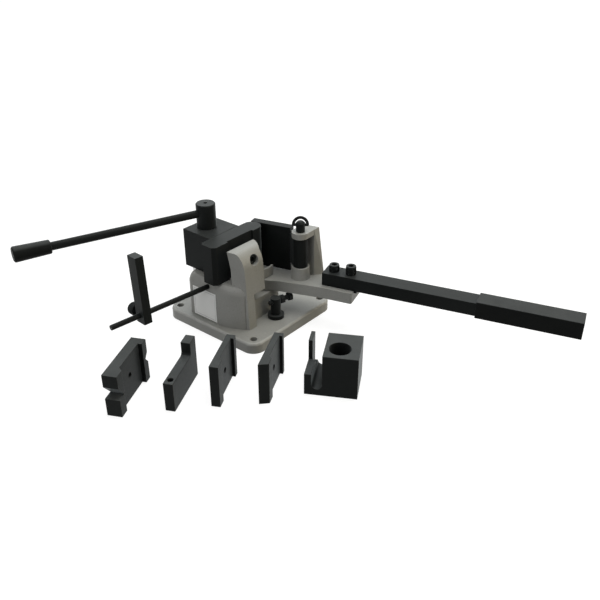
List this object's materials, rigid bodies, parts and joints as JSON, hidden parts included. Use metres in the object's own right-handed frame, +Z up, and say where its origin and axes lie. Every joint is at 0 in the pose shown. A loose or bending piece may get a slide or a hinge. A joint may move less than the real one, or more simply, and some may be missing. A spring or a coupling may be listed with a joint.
{
  "type": "bracket bender",
  "caption": "Bench bracket bender: cast base with clamped round-nosed die, eccentric clamp handle, long swing lever with wing plate, length stop and loose bending tools.",
  "frame": {"origin": "centre of the base plate's underside, on the bench", "axes": "+Z up; X along the bending die, Y the way the clamp block opens"},
  "size_m": [0.4901, 0.6362, 0.1889],
  "materials": {
    "cast_paint": "satin",
    "black_steel": "satin",
    "bright_steel": "satin",
    "bronze": "satin",
    "label": "matte",
    "grip": "matte"
  },
  "bodies": {
    "base": {"base_casting": "cast_paint", "label_plate": "label", "bending_die": "black_steel", "die_dowels": "bright_steel", "pivot_pin": "bright_steel", "thrust_washer": "bronze", "angle_stop_post": "black_steel", "angle_stop_screw": "black_steel", "angle_stop_nut": "black_steel", "v_notch_die": "black_steel", "corner_die": "black_steel", "lip_die_a": "black_steel", "lip_die_b": "black_steel", "spare_clamp_block": "black_steel"},
    "arm": {"swing_arm": "cast_paint", "pivot_bush": "bronze", "stop_peg": "bright_steel", "wing_pin": "black_steel", "wing_pin_nut": "bright_steel", "lever_bar": "black_steel", "lever_grip": "grip", "lever_screws": "black_steel"},
    "bail": {"pin_bail": "black_steel"},
    "wing": {"wing_plate": "black_steel"},
    "clamp": {"clamp_block": "black_steel", "guide_key": "bright_steel"},
    "cam": {"eccentric_shaft": "bright_steel", "tower_head": "black_steel", "handle_rod": "black_steel", "handle_grip": "grip", "handle_set_screw": "bright_steel"},
    "rod": {"stop_rod": "black_steel"},
    "bar": {"stop_bar": "black_steel"},
    "thumb": {"stop_thumb_screw": "black_steel"},
    "ear_screw": {"ear_set_screw": "black_steel"}
  },
  "joints": [
    {"name": "arm_swing", "type": "hinge", "parent": "base", "child": "arm", "pos_m": [0.007, -0.001, 0.06], "axis": [0, 0, 1], "range_deg": [-21.5, 74]},
    {"name": "wing_swivel", "type": "hinge", "parent": "arm", "child": "wing", "pos_m": [0.03811, -0.07322, 0.115], "axis": [0, 0, 1], "range_deg": [-15, 1]},
    {"name": "bail_turn", "type": "hinge", "parent": "arm", "child": "bail", "pos_m": [0.03811, -0.07322, 0.161], "axis": [0.6334, -0.7738, 0], "range_deg": [-85, 145]},
    {"name": "handle_turn", "type": "hinge", "parent": "base", "child": "cam", "pos_m": [-0.039, 0.0491, 0.12], "axis": [0, 0, 1], "range_deg": [-100, 0]},
    {"name": "clamp_slide", "type": "slide", "parent": "base", "child": "clamp", "axis": [0, 1, 0], "range_m": [0, 0.006]},
    {"name": "stop_turn", "type": "hinge", "parent": "base", "child": "rod", "pos_m": [-0.083, 0.0097, 0.077], "axis": [-0.994, 0.1097, 0], "range_deg": [-80, 80]},
    {"name": "stop_slide", "type": "slide", "parent": "rod", "child": "bar", "axis": [-0.994, 0.1097, 0], "range_m": [-0.085, 0.045]},
    {"name": "thumb_turn", "type": "hinge", "parent": "bar", "child": "thumb", "pos_m": [-0.19651, 0.02223, 0.077], "axis": [0.1096, 0.9928, -0.0489], "range_deg": [-180, 180]},
    {"name": "ear_screw_turn", "type": "hinge", "parent": "base", "child": "ear_screw", "pos_m": [-0.043, -0.03, 0.126], "axis": [0, -1, 0], "range_deg": [-180, 180]}
  ],
  "couplings": [
    {"joint": "clamp_slide", "follows": "handle_turn", "m_per_rad": -0.0034377}
  ]
}
